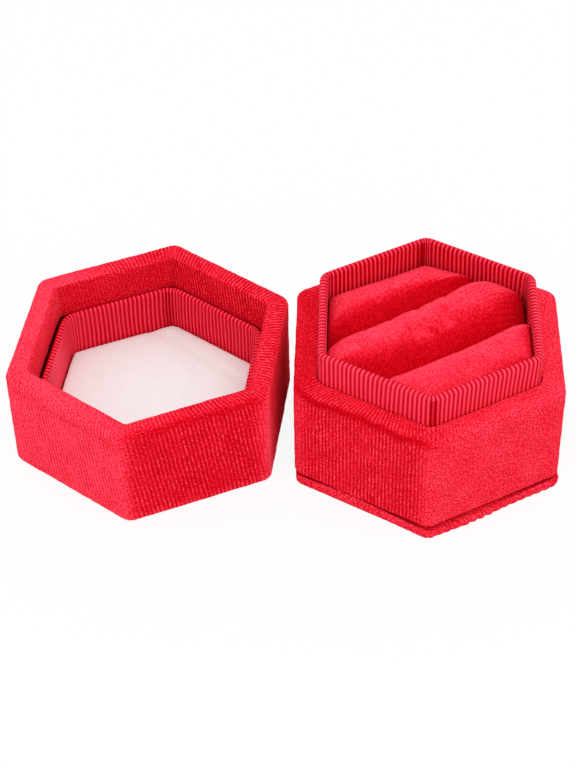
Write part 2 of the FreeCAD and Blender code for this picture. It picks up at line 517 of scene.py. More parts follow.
@dataclass(frozen=True)
class Stuffing:
    """How a cloth is filled: blown up like a cushion of everyday size, then brought back to its own."""

    cap: float
    held_below: float
    voxel: float = 0.5 * MM
    pressure: float = 4.0
    spare_cloth: float = 0.06
    quality: int = 5
    frames: int = 20
    grown: float = 20.0
    smoothing: int = 10
    smoothing_share: float = 0.5

    def fill(self, shape: Form, mould: Callable[[Vector], Vector]) -> Form:
        """Fill a closed form.

        Args:
            shape: the plain form that is cut to size; it is freed.
            mould: gives where a point of it lies in the slack cloth.

        Returns:
            The filled form, in even faces and divided once.
        """
        bmesh.ops.scale(shape, vec=(self.grown,) * 3, verts=shape.verts)
        form = put("stuffing", mesh_from(shape, "stuffing"))
        even = form.modifiers.new("even", "REMESH")
        even.mode = "VOXEL"
        even.voxel_size = self.voxel * self.grown
        slack = shown_mesh(form)
        form.modifiers.clear()
        form.data = slack
        for vert in slack.vertices:
            vert.co = mould(vert.co / self.grown) * self.grown
        filled = self.blow_up(form)
        full = bmesh.new()
        full.from_mesh(slack)
        most = self.cap * self.grown
        for vert, moved in zip(full.verts, filled.vertices):
            move = moved.co - vert.co
            vert.co += move * (most / move.length if move.length > most else 1.0)
        bmesh.ops.scale(full, vec=(1 / self.grown,) * 3, verts=full.verts)
        bpy.data.objects.remove(form)
        bmesh.ops.subdivide_edges(full, edges=full.edges, cuts=1, use_grid_fill=True)
        for _ in range(self.smoothing):
            bmesh.ops.smooth_vert(
                full, verts=full.verts, factor=self.smoothing_share,
                use_axis_x=True, use_axis_y=True, use_axis_z=True)
        full.normal_update()
        return full

    def blow_up(self, form: Piece) -> bpy.types.Mesh:
        """Run the cloth over the form with air inside and its foot held.

        Args:
            form: the slack cloth.

        Returns:
            The cloth where it comes to rest.
        """
        scene = bpy.context.scene
        held = form.vertex_groups.new(name="held")
        foot = [v.index for v in form.data.vertices if v.co.z < self.held_below * self.grown]
        held.add(foot, 1.0, "REPLACE")
        cloth = form.modifiers.new("cloth", "CLOTH")
        cloth.settings.quality = self.quality
        cloth.settings.vertex_group_mass = held.name
        cloth.settings.shrink_min = -self.spare_cloth
        cloth.settings.use_pressure = True
        cloth.settings.uniform_pressure_force = self.pressure
        cloth.settings.effector_weights.gravity = 0.0
        cloth.point_cache.frame_start = 1
        cloth.point_cache.frame_end = self.frames
        for step in range(1, self.frames + 1):
            scene.frame_set(step)
        filled = shown_mesh(form)
        form.modifiers.clear()
        scene.frame_set(1)
        return filled


class Shader:
    """Short calls for making and joining the nodes of a finish."""

    def __init__(self, tree: bpy.types.NodeTree) -> None:
        """Keep the tree that the nodes go in."""
        self.tree = tree

    def node(self, kind: str, **settings: object) -> bpy.types.Node:
        """Add a node.

        Args:
            kind: its type, without the leading ShaderNode.
            settings: its own options by name.

        Returns:
            The node.
        """
        made = self.tree.nodes.new("ShaderNode" + kind)
        for name, value in settings.items():
            setattr(made, name, value)
        return made

    def feed(self, socket: Socket, value: object) -> None:
        """Join a socket to an output, or set it to a plain value.

        Args:
            socket: the input that is fed.
            value: the output or the plain value.
        """
        if isinstance(value, Socket):
            self.tree.links.new(value, socket)
        else:
            socket.default_value = value

    def maths(self, operation: str, *values: object, clamp: bool = False) -> Socket:
        """Add a sum on values or outputs.

        Args:
            operation: the kind of sum.
            values: what it is done on, in order.
            clamp: whether the result is kept within 0 and 1.

        Returns:
            The result.
        """
        made = self.node("Math", operation=operation, use_clamp=clamp)
        for socket, value in zip(made.inputs, values):
            self.feed(socket, value)
        return made.outputs[0]

    def scaled(self, value: object, gain: object, least: object, clamp: bool = False) -> Socket:
        """Return a value times a gain, added to a least value."""
        return self.maths("MULTIPLY_ADD", value, gain, least, clamp=clamp)

    def spread(self, value: Socket, gain: float) -> Socket:
        """Return a value with its difference from one half made larger, within 0 and 1."""
        return self.scaled(value, gain, 0.5 - gain / 2, clamp=True)

    def mixed(self, share: object, first: object, second: object, blend: str = "MIX") -> Socket:
        """Return a mix of two colours.

        Args:
            share: how much of the second.
            first: a colour or an output.
            second: a colour or an output.
            blend: how they are mixed.

        Returns:
            The mixed colour.
        """
        made = self.node("Mix", data_type="RGBA", blend_type=blend)
        for index, value in zip(COLOUR_MIX, (share, first, second)):
            self.feed(made.inputs[index], (*value, 1.0) if isinstance(value, tuple) else value)
        return made.outputs[2]

    def noise(self, vector: Socket, scale: float, detail: float) -> Socket:
        """Add soft noise.

        Args:
            vector: where it is read.
            scale: how fine it is.
            detail: how much finer noise is laid over it.

        Returns:
            The noise, from 0 to 1.
        """
        made = self.node("TexNoise")
        self.feed(made.inputs["Vector"], vector)
        made.inputs["Scale"].default_value = scale
        made.inputs["Detail"].default_value = detail
        return made.outputs["Fac"]

    def ramp(self, share: Socket, stops: Sequence[tuple[float, Colour]]) -> Socket:
        """Add a colour from a row of stops.

        Args:
            share: how far along the row.
            stops: the place and the colour of each stop.

        Returns:
            The colour.
        """
        made = self.node("ValToRGB")
        elements = made.color_ramp.elements
        while len(elements) < len(stops):
            elements.new(0.5)
        for element, (position, colour) in zip(elements, stops):
            element.position = position
            element.color = (*colour, 1.0)
        self.feed(made.inputs[0], share)
        return made.outputs[0]

    def stretched(self, vector: Socket, scale: Colour, turn: float = 0.0) -> Socket:
        """Turn coordinates about Z and scale them.

        Args:
            vector: the coordinates.
            scale: the scale along each axis.
            turn: the angle about Z.

        Returns:
            The new coordinates.
        """
        made = self.node("Mapping")
        self.feed(made.inputs["Vector"], vector)
        made.inputs["Rotation"].default_value = (0, 0, turn)
        made.inputs["Scale"].default_value = scale
        return made.outputs[0]

    def parts(self, vector: Socket) -> tuple[Socket, Socket]:
        """Take a vector apart.

        Args:
            vector: the vector.

        Returns:
            Its first two coordinates.
        """
        made = self.node("SeparateXYZ")
        self.feed(made.inputs[0], vector)
        return made.outputs[0], made.outputs[1]

    def place(self, scale: Colour, turn: float = 0.0) -> Socket:
        """Return the place in the object, turned and scaled."""
        return self.stretched(self.node("TexCoord").outputs["Object"], scale, turn)

    def cloth(self) -> Socket:
        """Return the place on the cloth, from its UV map."""
        return self.node("UVMap", uv_map=CLOTH_UV).outputs[0]

    def painted(self, name: str) -> Socket:
        """Return a value that was painted on the cloth."""
        return self.node("Attribute", attribute_name=name).outputs["Fac"]

    def group(self, tree: bpy.types.NodeTree, **inputs: object) -> bpy.types.Node:
        """Add a node group.

        Args:
            tree: the group.
            inputs: what its inputs take, by name.

        Returns:
            The node.
        """
        made = self.node("Group", node_tree=tree)
        for name, value in inputs.items():
            self.feed(made.inputs[name.title()], value)
        return made


@dataclass(frozen=True)
class Effect:
    """A pattern that more than one finish uses, drawn once as a node group."""

    name: str
    inputs: Sequence[tuple[str, str]]
    outputs: Sequence[str]

    def draw(self, shader: Shader, entry: Sequence[Socket]) -> Sequence[Socket]:
        """Draw the pattern's nodes.

        Args:
            shader: draws in the group.
            entry: the group's inputs, in order.

        Returns:
            What its outputs take, in order.
        """
        raise NotImplementedError

    def tree(self) -> bpy.types.NodeTree:
        """Draw the node group the first time that it is asked for.

        Returns:
            The node group.
        """
        if self.name in bpy.data.node_groups:
            return bpy.data.node_groups[self.name]
        tree = bpy.data.node_groups.new(self.name, "ShaderNodeTree")
        for label, kind in self.inputs:
            tree.interface.new_socket(label, in_out="INPUT", socket_type="NodeSocket" + kind)
        for label in self.outputs:
            tree.interface.new_socket(label, in_out="OUTPUT", socket_type="NodeSocketFloat")
        shader = Shader(tree)
        entry = tree.nodes.new("NodeGroupInput")
        leave = tree.nodes.new("NodeGroupOutput")
        drawn = self.draw(shader, [entry.outputs[label] for label, _ in self.inputs])
        for label, value in zip(self.outputs, drawn):
            shader.feed(leave.inputs[label], value)
        return tree


@dataclass(frozen=True)
class VelvetPile(Effect):
    """The rows, beads and fuzz of velvet pile, from rows across and millimetres along them."""

    name: str = "velvet_pile"
    inputs: Sequence[tuple[str, str]] = (("Vector", "Vector"), ("Wale", "Float"))
    outputs: Sequence[str] = ("Height", "Fuzz")
    wander: float = 0.5
    sharpness: float = 1.9
    row_apart: float = 7.31
    rows_per_mm: float = 0.82
    bead_share: float = 0.6
    spell_share: float = 0.3
    least_lit: float = 0.22
    ridge_fuzz: float = 0.3
    ridge_foot: float = 0.05
    fibre_share: float = 0.8
    tuft_share: float = 0.2

    def draw(self, shader: Shader, entry: Sequence[Socket]) -> Sequence[Socket]:
        """Draw beaded rows where the wale is full, and even fuzz where it is none.

        Args:
            shader: draws in the group.
            entry: the vector and the wale.

        Returns:
            The height and the fuzz.
        """
        vector, wale = entry
        across, down = shader.parts(vector)
        sway = shader.noise(vector, scale=0.2, detail=1.0)
        jog = shader.noise(vector, scale=1.3, detail=0.0)
        row = shader.scaled(sway, self.wander, shader.scaled(jog, self.wander, across))
        wave = shader.maths("COSINE", shader.maths("MULTIPLY", row, math.tau))
        wave = shader.maths("POWER", shader.scaled(wave, 0.5, 0.5), self.sharpness)
        own = shader.node("CombineXYZ")
        shader.feed(own.inputs[0], shader.maths("MULTIPLY", shader.maths("ROUND", row), self.row_apart))
        shader.feed(own.inputs[1], down)
        beads = shader.spread(shader.noise(own.outputs[0], scale=3.0, detail=0.5), gain=3.4)
        spells = shader.spread(shader.noise(own.outputs[0], scale=0.55, detail=1.0), gain=2.2)
        even = shader.stretched(vector, (self.rows_per_mm, 1.0, 1.0))
        fibres = shader.spread(shader.noise(even, scale=2.7, detail=1.0), gain=2.8)
        tufts = shader.spread(shader.noise(even, scale=1.0, detail=2.0), gain=2.0)
        lit = shader.scaled(beads, self.bead_share, shader.scaled(spells, self.spell_share, self.least_lit))
        ridge = shader.maths("ADD", shader.maths("MULTIPLY", wave, lit), self.ridge_foot)
        ridge = shader.scaled(fibres, self.ridge_fuzz, ridge)
        soft = shader.scaled(fibres, self.fibre_share, shader.maths("MULTIPLY", tufts, self.tuft_share))
        blend = shader.node("Mix", data_type="FLOAT")
        for index, value in zip(NUMBER_MIX, (wale, soft, ridge)):
            shader.feed(blend.inputs[index], value)
        return blend.outputs[0], fibres


@dataclass(frozen=True)
class PlainWeave(Effect):
    """The over-and-under threads of a plain weave, from coordinates in millimetres."""

    name: str = "plain_weave"
    inputs: Sequence[tuple[str, str]] = (("Vector", "Vector"), ("Pitch", "Float"))
    outputs: Sequence[str] = ("Height", "Slub")
    slub: Colour = (0.5, 3.0, 1.0)

    def draw(self, shader: Shader, entry: Sequence[Socket]) -> Sequence[Socket]:
        """Args:
            shader: draws in the group.
            entry: the vector and the threads' pitch.

        Returns:
            The height and the slubs.
        """
        vector, pitch = entry
        turn = shader.maths("DIVIDE", math.pi, pitch)
        waves = [shader.maths("SINE", shader.maths("MULTIPLY", way, turn)) for way in shader.parts(vector)]
        slub = shader.noise(shader.stretched(vector, self.slub), scale=1.0, detail=2.0)
        return shader.scaled(shader.maths("MULTIPLY", *waves), 0.5, 0.5), slub


def new_material(name: str) -> tuple[Material, Shader, bpy.types.Node]:
    """Make a fresh material.

    Args:
        name: its name.

    Returns:
        The material, the calls that draw in it and its main surface node.
    """
    material = bpy.data.materials.new(name)
    material.use_nodes = True
    return material, Shader(material.node_tree), material.node_tree.nodes["Principled BSDF"]


@dataclass(frozen=True)
class Finish:
    """How a cloth or a board looks."""

    name: str
    relief: float = 0.03 * MM
    gloss: float = 0.02
    least_rough: float = 0.75
    rough_gain: float = 0.2

    def draw(self, shader: Shader) -> tuple[Socket, Socket, Socket]:
        """Return the finish's colour, what makes it rough, and the height of its relief."""
        raise NotImplementedError

    def plain(self) -> dict[str, object]:
        """Return the surface's inputs that are the same all over."""
        return {"Specular IOR Level": self.gloss}

    def material(self) -> Material:
        """Draw the finish.

        Returns:
            The finish as a material.
        """
        material, shader, surface = new_material(self.name)
        colour, rough, height = self.draw(shader)
        shader.feed(surface.inputs["Base Color"], colour)
        shader.feed(surface.inputs["Roughness"], shader.scaled(rough, self.rough_gain, self.least_rough))
        for name, value in self.plain().items():
            surface.inputs[name].default_value = value
        bump = shader.node("Bump")
        bump.inputs["Strength"].default_value = 1.0
        bump.inputs["Distance"].default_value = self.relief
        shader.feed(bump.inputs["Height"], height)
        shader.feed(surface.inputs["Normal"], bump.outputs[0])
        return material


@dataclass(frozen=True)
class VelvetFinish(Finish):
    """Crimson velvet with rows of pile, coloured along a ramp from its shaded to its lit red by a painted
    tone that holds sheen, light and shade.
    """

    relief: float = 0.08 * MM
    uses_uv: bool = True
    row_pitch: float = 0.85 * MM
    tones: Sequence[tuple[float, Colour]] = (
        (0.0, srgb(190, 0, 15)), (0.4, srgb(222, 14, 36)),
        (0.75, srgb(250, 46, 70)), (1.0, srgb(255, 78, 102)))
    fuzz_contrast: float = 0.95
    row_contrast: float = 1.0
    sheen: float = 0.03
    sheen_roughness: float = 0.4
    sheen_tint: Colour = (1.0, 0.12, 0.18)

    def draw(self, shader: Shader) -> tuple[Socket, Socket, Socket]:
        """Draw the pile.

        Args:
            shader: draws in the material.

        Returns:
            Its colour, its fuzz and its height.
        """
        rows = (1 / self.row_pitch, 1 / MM, 1 / MM)
        vector = shader.cloth() if self.uses_uv else shader.place(rows, math.pi / 2)
        wale = shader.painted(WALE)
        pile = shader.group(VelvetPile().tree(), vector=vector, wale=wale)
        height, fuzz = pile.outputs["Height"], pile.outputs["Fuzz"]
        contrast = shader.scaled(wale, self.row_contrast - self.fuzz_contrast, self.fuzz_contrast)
        # the painted sheen, light and shade on each vertex, stirred by the pile's rows and fuzz, picks a red
        # from shaded to lit
        tone = shader.scaled(shader.maths("SUBTRACT", height, 0.5), contrast, shader.painted(SHEEN_TONE))
        return shader.ramp(tone, self.tones), fuzz, height

    def plain(self) -> dict[str, object]:
        """Return the gloss and the sheen."""
        sheen = {"Weight": self.sheen, "Roughness": self.sheen_roughness, "Tint": (*self.sheen_tint, 1.0)}
        return {**super().plain(), **{"Sheen " + name: value for name, value in sheen.items()}}


@dataclass(frozen=True)
class RibbonFinish(Finish):
    """Red ribbed ribbon: painted highlight on the crests and painted shade in the grooves of modelled ribs,
    with fine threads across the ribs.
    """

    name: str = "ribbed_ribbon"
    least_rough: float = 0.45
    rough_gain: float = 0.15
    # light crest, dark groove and darkest hollow: painted highlight and painted shade on the ribs
    tones: Sequence[tuple[float, Colour]] = (
        (0.0, srgb(255, 76, 102)), (0.8, srgb(206, 1, 26)), (1.0, srgb(168, 0, 12)))
    thread_mm: float = 0.22
    least_fleck: float = 0.85
    fleck_gain: float = 0.3

    def draw(self, shader: Shader) -> tuple[Socket, Socket, Socket]:
        """Draw the flecked ribs.

        Args:
            shader: draws in the material.

        Returns:
            Their colour, and the weave's height for the rest.
        """
        weave = shader.group(PlainWeave().tree(), vector=shader.cloth(), pitch=self.thread_mm)
        fleck = shader.scaled(weave.outputs["Slub"], self.fleck_gain, self.least_fleck)
        tint = shader.node("CombineColor")
        for socket in tint.inputs:
            shader.feed(socket, fleck)
        ribs = shader.ramp(shader.painted(GROOVE_AND_SHADE), self.tones)
        colour = shader.mixed(1.0, ribs, tint.outputs[0], "MULTIPLY")
        return colour, weave.outputs["Height"], weave.outputs["Height"]


@dataclass(frozen=True)
class SatinFinish(Finish):
    """White lining cloth with a fine weave."""

    name: str = "white_lining"
    gloss: float = 0.3
    least_rough: float = 0.5
    # a faint cyan in the white offsets the red light that the velvet walls bounce onto the pad
    cloth: Colour = srgb(246, 255, 255)
    shade: Colour = srgb(237, 245, 245)
    thread_mm: float = 0.3
    sheen: float = 0.2

    def draw(self, shader: Shader) -> tuple[Socket, Socket, Socket]:
        """Draw the blotched weave.

        Args:
            shader: draws in the material.

        Returns:
            Its colour, its slubs and its height.
        """
        vector = shader.place((1 / MM, 1 / MM, 1 / MM), -Body.LID.place.to_euler().z)
        weave = shader.group(PlainWeave().tree(), vector=vector, pitch=self.thread_mm)
        height = weave.outputs["Height"]
        share = shader.maths("MULTIPLY", height, shader.noise(vector, scale=0.5, detail=3.0))
        return shader.mixed(share, self.cloth, self.shade), weave.outputs["Slub"], height

    def plain(self) -> dict[str, object]:
        """Return the gloss and the sheen."""
        return {**super().plain(), "Sheen Weight": self.sheen}


@dataclass(frozen=True)
class BoardFinish(Finish):
    """Pressed board or paper with specks of fibre."""

    gloss: float = 0.2
    ground: Colour = srgb(168, 163, 154)
    speck: Colour = srgb(120, 114, 104)
    speck_per_mm: float = 1.4
    speck_gain: float = 2.4
    speck_least: float = -0.9

    def draw(self, shader: Shader) -> tuple[Socket, Socket, Socket]:
        """Draw the specked board.

        Args:
            shader: draws in the material.

        Returns:
            Its colour, and the pulp for the rest.
        """
        pulp = shader.noise(shader.place((1 / MM, 1 / MM, 1 / MM)), self.speck_per_mm, detail=4.0)
        share = shader.scaled(pulp, self.speck_gain, self.speck_least, clamp=True)
        return shader.mixed(share, self.ground, self.speck), pulp, pulp


@dataclass(frozen=True)
class Role:
    """What a piece is in the box: its name, body and slot, and the solids that it is shown in place of."""

    name: str
    body: Body
    slot: Slot
    stands_for: Sequence[str]

    def show(self, shape: Form, material: Material) -> Piece:
        """Make a finished mesh a piece of the box.

        Args:
            shape: the mesh in its body's own frame; it is freed.
            material: its finish.

        Returns:
            The piece.
        """
        bmesh.ops.transform(shape, matrix=self.body.place, verts=shape.verts)
        for face in shape.faces:
            face.smooth = True
        piece = put(self.name, mesh_from(shape, self.name))
        piece.data.materials.append(material)
        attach(piece, self.body.value)
        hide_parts(*self.stands_for)
        LOG.info("%s: %d faces", self.name, len(piece.data.polygons))
        return piece


@dataclass(frozen=True)
class Fuzz:
    """How unevenly the ends of a pile stand, and how unevenly it is brushed."""

    fine: float = 0.06 * MM
    fine_size: float = 0.4 * MM
    coarse: float = 0.08 * MM
    coarse_size: float = 2.4 * MM
    broad_tone: float = 0.09
    broad_size: float = 4.5 * MM
    patch_tone: float = 0.05
    patch_size: float = 1.6 * MM

    def lift(self, point: Vector) -> float:
        """Return how far the pile stands up at a point."""
        return (self.fine * noise.noise(point / self.fine_size)
                + self.coarse * noise.noise(point / self.coarse_size))

    def brushed(self, point: Vector) -> float:
        """Return how much lighter or darker the pile lies at a point."""
        return (self.broad_tone * noise.noise(point / self.broad_size)
                + self.patch_tone * noise.noise(point / self.patch_size))


@dataclass(frozen=True)
class PileBand:
    """A wavy band along one side where the pile is pressed flat, dark and without rows; a band with no sink
    changes only the colour, as painted shade, or as painted light with a shade below 0.

    Its bearing is in degrees. Its height is measured up the outer face and on across the edge, or up the
    inner face.
    """

    bearing: float
    height: float
    width: float
    shade: float
    sink: float = 0.08 * MM
    wobble: float = 0.5 * MM
    wobble_size: float = 4.0 * MM
    inside: bool = False
    side_fade: Limits = (0.8, 0.9)

    def at(self, spot: Spot, inside: float, climb: float) -> float:
        """Return how fully the band covers a spot, from 0 to 1.

        Args:
            spot: where the pile stands.
            inside: 1 on the inner face of the wall and 0 on its outer face.
            climb: how far up the outer face and across the edge the spot lies.

        Returns:
            The share.
        """
        turned = level(spot.point).normalized().dot(heading(math.radians(self.bearing)))
        side = eased(turned, *self.side_fade)
        side *= inside if self.inside else 1 - inside
        if side == 0:
            return 0.0
        wave = self.wobble * noise.noise(Vector((spot.around / self.wobble_size, 0.5, self.height / MM)))
        return side * bump_at(spot.point.z if self.inside else climb, self.height + wave, self.width)


@dataclass(frozen=True)
class Brush:
    """Which way the pile of the outer or the inner faces lies, shown as painted sheen: faces painted light or
    dark by the way that they face, and where its rows show.

    The bearings of the lightest faces and of the plainest rows are in degrees.
    """

    light_bearing: float
    rows_bearing: float
    shaded_tone: float
    lit_tone: float
    away_sheen: float = 0.0
    least_rows: float = 0.15
    most_rows: float = 0.95
    rows_fade: Limits = (0.2, 0.9)
    light_fade: Limits = (-0.2, 0.75)
    away_fade: Limits = (0.4, 0.9)

    def light(self, facing: Vector) -> float:
        """Return how much painted sheen lights a face, from 0 to 1."""
        return eased(facing.dot(heading(math.radians(self.light_bearing))), *self.light_fade)

    def sheen_tone(self, facing: Vector) -> float:
        """Return the tone of the pile on a face with its painted sheen, lighter again where it is turned
        fully away, as sheen at a grazing view.
        """
        away = eased(-facing.dot(heading(math.radians(self.light_bearing))), *self.away_fade)
        return between(self.shaded_tone, self.lit_tone, self.light(facing)) + self.away_sheen * away

    def rows(self, facing: Vector) -> float:
        """Return how plainly the rows show on a face, from 0 to 1."""
        turned = facing.dot(heading(math.radians(self.rows_bearing)))
        return between(self.least_rows, self.most_rows, eased(turned, *self.rows_fade))


@dataclass(frozen=True)
class Stretch:
    """A stretch of cloth round a bearing that fades out over a spread, both in degrees."""

    bearing: float
    spread: float

    def share(self, point: Vector) -> float:
        """Return how far a point belongs to the stretch, from 0 to 1."""
        turn = math.atan2(point.y, point.x) - math.radians(self.bearing)
        return bump_at(math.remainder(turn, math.tau), 0.0, math.radians(self.spread))


@dataclass(frozen=True)
class Skew(Stretch):
    """A stretch of ribbon pulled askew: its ribs lean by so many ribs from foot to top."""

    ribs: float


@dataclass(frozen=True)
class RibMark(Stretch):
    """An upright stretch where ribbon is pinched and dark, or, with a shade below 0, painted light and plain.
    """

    shade: float


@dataclass(frozen=True)
class CutEdge(Stretch):
    """How a cut edge hangs along one stretch.

    It curls up by a rise, is ragged by a fray, stands out, and ends in tufts.
    """

    rise: float
    fray: float
    out: float = 0.0
    tufts: float = 0.0


@dataclass
class Sheet:
    """A sheet of cloth: the solid that it stands for, the board under it and the body that it rides on."""

    solid: str
    board: str
    body: Body

    def show(self, shape: Form, material: Material, ending: str, slot: Slot) -> Piece:
        """Make the sheet's finished mesh a piece of the box.

        Args:
            shape: the mesh; it is freed.
            material: its finish.
            ending: what its name adds to its solid's.
            slot: the record's slot for its finish; it is kept in the role but not used.

        Returns:
            The piece.
        """
        return Role(self.solid + ending, self.body, slot, [self.solid]).show(shape, material)


@dataclass
class WallVelvet(Sheet):
    """The velvet over one wall: outside, over the edge, down inside, and turned in below."""

    outer: Outline
    mouth: Outline
    bottom: float
    top: float
    outside: Brush
    within: Brush
    mouth_rounding: float
    foot_rounding: float
    rows: int
    shows_inside: bool
    lean: float = 0.0
    pile_bands: Sequence[PileBand] = ()
    # The edge's tone, with painted light above the sides that face the light, and a painted highlight down
    # the upright corners
    edge_tone: float = 0.54
    edge_light_gain: float = 0.2
    edge_rows: float = 0.75
    least_edge_rows: float = 0.12
    corner_width: float = 2.2 * MM
    corner_highlight: float = 0.22
    corner_rows_lost: float = 0.75
    patch_size: float = 3.8 * MM
    patch_rows_lost: float = 0.55
    patch_fade: Limits = (0.0, 0.5)
    inside_fade: Limits = (0.3, 0.8)
    edge_fade: Limits = (0.45, 0.95)
    pressed_rows_lost: float = 0.8
    thickness: float = 1.0 * MM
    edge_rounding: float = 1.3 * MM
    tuck: float = 8.0 * MM
    turn_in: float = 6.0 * MM
    behind: float = 0.05 * MM
    spacing: float = 0.45 * MM
    steps_per_row: int = 4
    row_lift: float = 0.02 * MM
    fuzz: Fuzz = Fuzz()

    @property
    def profile(self) -> list[Turn]:
        """The closed profile, from the turned-in edge outwards and up, and back behind."""
        skin = self.thickness - self.behind
        end = self.top - self.tuck
        folded = self.outer.apothem - self.turn_in
        return [
            Turn(folded, self.bottom + skin, hidden_next=True),
            Turn(folded, self.bottom, hidden_next=True),
            Turn(self.outer.apothem, self.bottom, self.foot_rounding),
            Turn(self.outer.apothem, self.top, self.edge_rounding),
            Turn(self.mouth.apothem, self.top, self.mouth_rounding, not self.shows_inside),
            Turn(self.mouth.apothem, end, hidden_next=True),
            Turn(self.mouth.apothem + skin, end, hidden_next=True),
            Turn(self.mouth.apothem + skin, self.top - skin, hidden_next=True),
            Turn(self.outer.apothem - skin, self.top - skin, hidden_next=True),
            Turn(self.outer.apothem - skin, self.bottom + skin, hidden_next=True),
        ]

    @property
    def width(self) -> float:
        """The width that the strip is cut to."""
        saved = (2 - math.pi / 2) * (self.foot_rounding + self.edge_rounding + self.mouth_rounding)
        over = self.top - self.bottom + self.outer.apothem - self.mouth.apothem
        return self.turn_in + over + self.tuck - saved

    def facing(self, spot: Spot) -> Vector:
        """Return the level direction that a spot faces, which on the edge is outwards."""
        return (level(spot.normal) + level(spot.point).normalized() * max(spot.normal.z, 0.0)).normalized()

    def inside(self, spot: Spot) -> float:
        """Return 1 on the inner face of the wall and 0 on its outer face."""
        return eased(-level(spot.normal).dot(level(spot.point).normalized()), *self.inside_fade)

    def on_edge(self, spot: Spot) -> float:
        """Return 1 on top of the wall's edge and 0 on its faces."""
        return eased(spot.normal.z, *self.edge_fade)

    def corner(self, spot: Spot) -> float:
        """Return 1 at the upright corners of the outside, fading to 0 along the sides."""
        share = spot.around / self.outer.side % 1.0
        return bump_at(min(share, 1 - share) * self.outer.side, 0.0, self.corner_width)

    def pressed(self, spot: Spot) -> list[tuple[PileBand, float]]:
        """Find how fully each band covers the pile at a spot.

        Args:
            spot: where the pile stands.

        Returns:
            The bands with their shares.
        """
        inside = self.inside(spot)
        climb = spot.point.z + self.outer.apothem - side_reach(spot.point)
        return [(crease, crease.at(spot, inside, climb)) for crease in self.pile_bands]

    def sheen_tone(self, spot: Spot) -> float:
        """Find the pile's tone at a spot: painted sheen by the way that it faces, painted highlights down the
        upright corners and on the edge, the bands' painted shade or light, and uneven brushing.

        Args:
            spot: where the pile stands.

        Returns:
            The tone, from 0 for dark to 1 for light.
        """
        facing = self.facing(spot)
        light = self.outside.light(facing)
        # painted sheen by facing, and a painted highlight down the upright corners of the darker sides
        value = self.outside.sheen_tone(facing) + self.corner_highlight * self.corner(spot) * (1 - light)
        value = between(value, self.within.sheen_tone(facing), self.inside(spot))
        # painted light on the edge, lighter above the sides that face the light
        value = between(value, self.edge_tone + self.edge_light_gain * light, self.on_edge(spot))
        # pressed creases darken; other bands paint shade, or with a shade below 0 paint light
        shade = sum(crease.shade * share for crease, share in self.pressed(spot))
        return value - shade + self.fuzz.brushed(spot.point)

    def wale(self, spot: Spot) -> float:
        """Find how plainly the rows of pile show at a spot.

        Args:
            spot: where the pile stands.

        Returns:
            The share, from 0 to 1.
        """
        facing = self.facing(spot)
        on_edge = self.least_edge_rows + self.edge_rows * (1 - self.outside.light(facing))
        rows = self.outside.rows(facing) * (1 - self.corner_rows_lost * self.corner(spot))
        rows = between(rows, self.within.rows(facing), self.inside(spot))
        rows = between(rows, on_edge, self.on_edge(spot))
        patch = self.patch_rows_lost * eased(noise.noise(spot.point / self.patch_size), *self.patch_fade)
        pressed = sum(share for crease, share in self.pressed(spot) if crease.shade > 0)
        return rows * (1 - patch) * max(0.0, 1 - self.pressed_rows_lost * pressed)

    def lift(self, spot: Spot) -> float:
        """Find how far the pile stands up at a spot.

        Args:
            spot: where the pile stands.

        Returns:
            The height, in metres.
        """
        if spot.along > self.thickness + self.width:
            return 0.0
        turns = self.rows * (spot.around + self.lean * spot.along) / (SIDES * self.outer.side)
        sunk = sum(crease.sink * share for crease, share in self.pressed(spot))
        rows = self.row_lift * self.wale(spot) * math.cos(math.tau * turns)
        return rows + self.fuzz.lift(spot.point) - sunk

    def build(self, material: Material) -> None:
        """Build and dress the velvet.

        Args:
            material: the velvet's finish.
        """
        strip = Strip(
            self.profile, self.outer, self.mouth, self.spacing, self.rows, self.steps_per_row, self.lean)
        shape = strip.build()
        painted(shape, SHEEN_TONE, self.sheen_tone)
        painted(shape, WALE, self.wale)
        lifted(shape, self.lift)
        for vert in shape.verts:
            vert.co.z = max(vert.co.z, self.bottom)
        piece = self.show(shape, material, "_pile", Slot.WALL_VELVET)
        length = SIDES * self.outer.inset(self.thickness / 2).side


